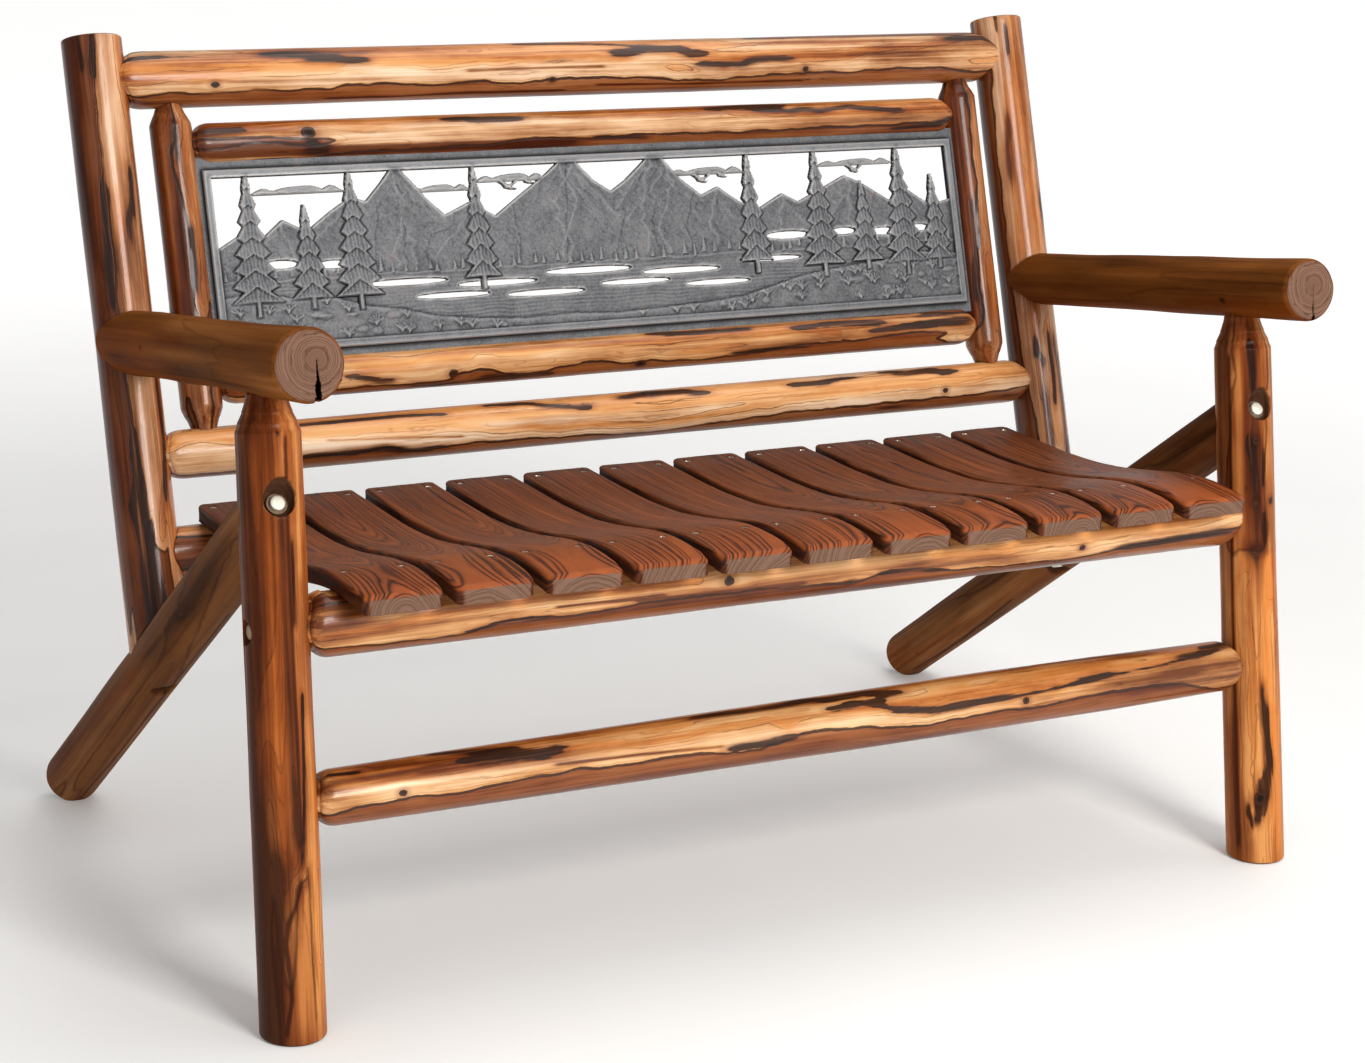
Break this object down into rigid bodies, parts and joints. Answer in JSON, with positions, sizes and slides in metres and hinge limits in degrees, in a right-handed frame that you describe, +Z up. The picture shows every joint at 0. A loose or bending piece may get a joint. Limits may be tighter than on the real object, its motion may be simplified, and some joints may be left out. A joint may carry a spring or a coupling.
{
  "type": "rustic log bench",
  "caption": "Rustic bench of peeled round logs with armrests, long slanting rear legs, a dished slat seat and a cast openwork panel in the back.",
  "frame": {"origin": "centre of the bounding box's footprint, on the floor", "axes": "+X along the bench, to the right of someone who faces it; +Y from the front legs to the back; +Z up"},
  "size_m": [1.2715, 0.8302, 0.9227],
  "materials": {
    "honey_log": "gloss lacquer over peeled, charred pine log",
    "leg_log": "gloss lacquer over peeled, charred pine log",
    "dark_log": "satin lacquer over dark brown peeled log",
    "inner_log": "satin lacquer over dark brown peeled log",
    "seat_wood": "satin lacquer over brushed, charred boards",
    "cast_metal": "dark pewter patina on sand-cast metal",
    "bolt_steel": "zinc-plated, clear lacquered",
    "screw_steel": "dulled zinc plating"
  },
  "bodies": {
    "root": {"arm_bolt_washers": "bolt_steel", "arm_bolts": "bolt_steel", "armrest_left": "dark_log", "armrest_right": "dark_log", "back_lower_rail": "honey_log", "back_post_left": "honey_log", "back_post_right": "honey_log", "back_top_rail": "honey_log", "brace_bolt_washers": "bolt_steel", "brace_bolts": "bolt_steel", "cast_panel": "cast_metal", "front_leg_left": "leg_log", "front_leg_right": "leg_log", "front_seat_rail": "honey_log", "front_stretcher": "honey_log", "inner_lower_rail": "inner_log", "inner_stile_left": "inner_log", "inner_stile_right": "inner_log", "inner_upper_rail": "inner_log", "post_bolt_washers": "bolt_steel", "post_bolts": "bolt_steel", "rail_bolt_washers": "bolt_steel", "rail_bolts": "bolt_steel", "rear_leg_left": "dark_log", "rear_leg_right": "dark_log", "rear_seat_rail": "honey_log", "seat_slat_01": "seat_wood", "seat_slat_02": "seat_wood", "seat_slat_03": "seat_wood", "seat_slat_04": "seat_wood", "seat_slat_05": "seat_wood", "seat_slat_06": "seat_wood", "seat_slat_07": "seat_wood", "seat_slat_08": "seat_wood", "seat_slat_09": "seat_wood", "seat_slat_10": "seat_wood", "seat_slat_11": "seat_wood", "slat_screws": "screw_steel"}
  },
  "joints": []
}
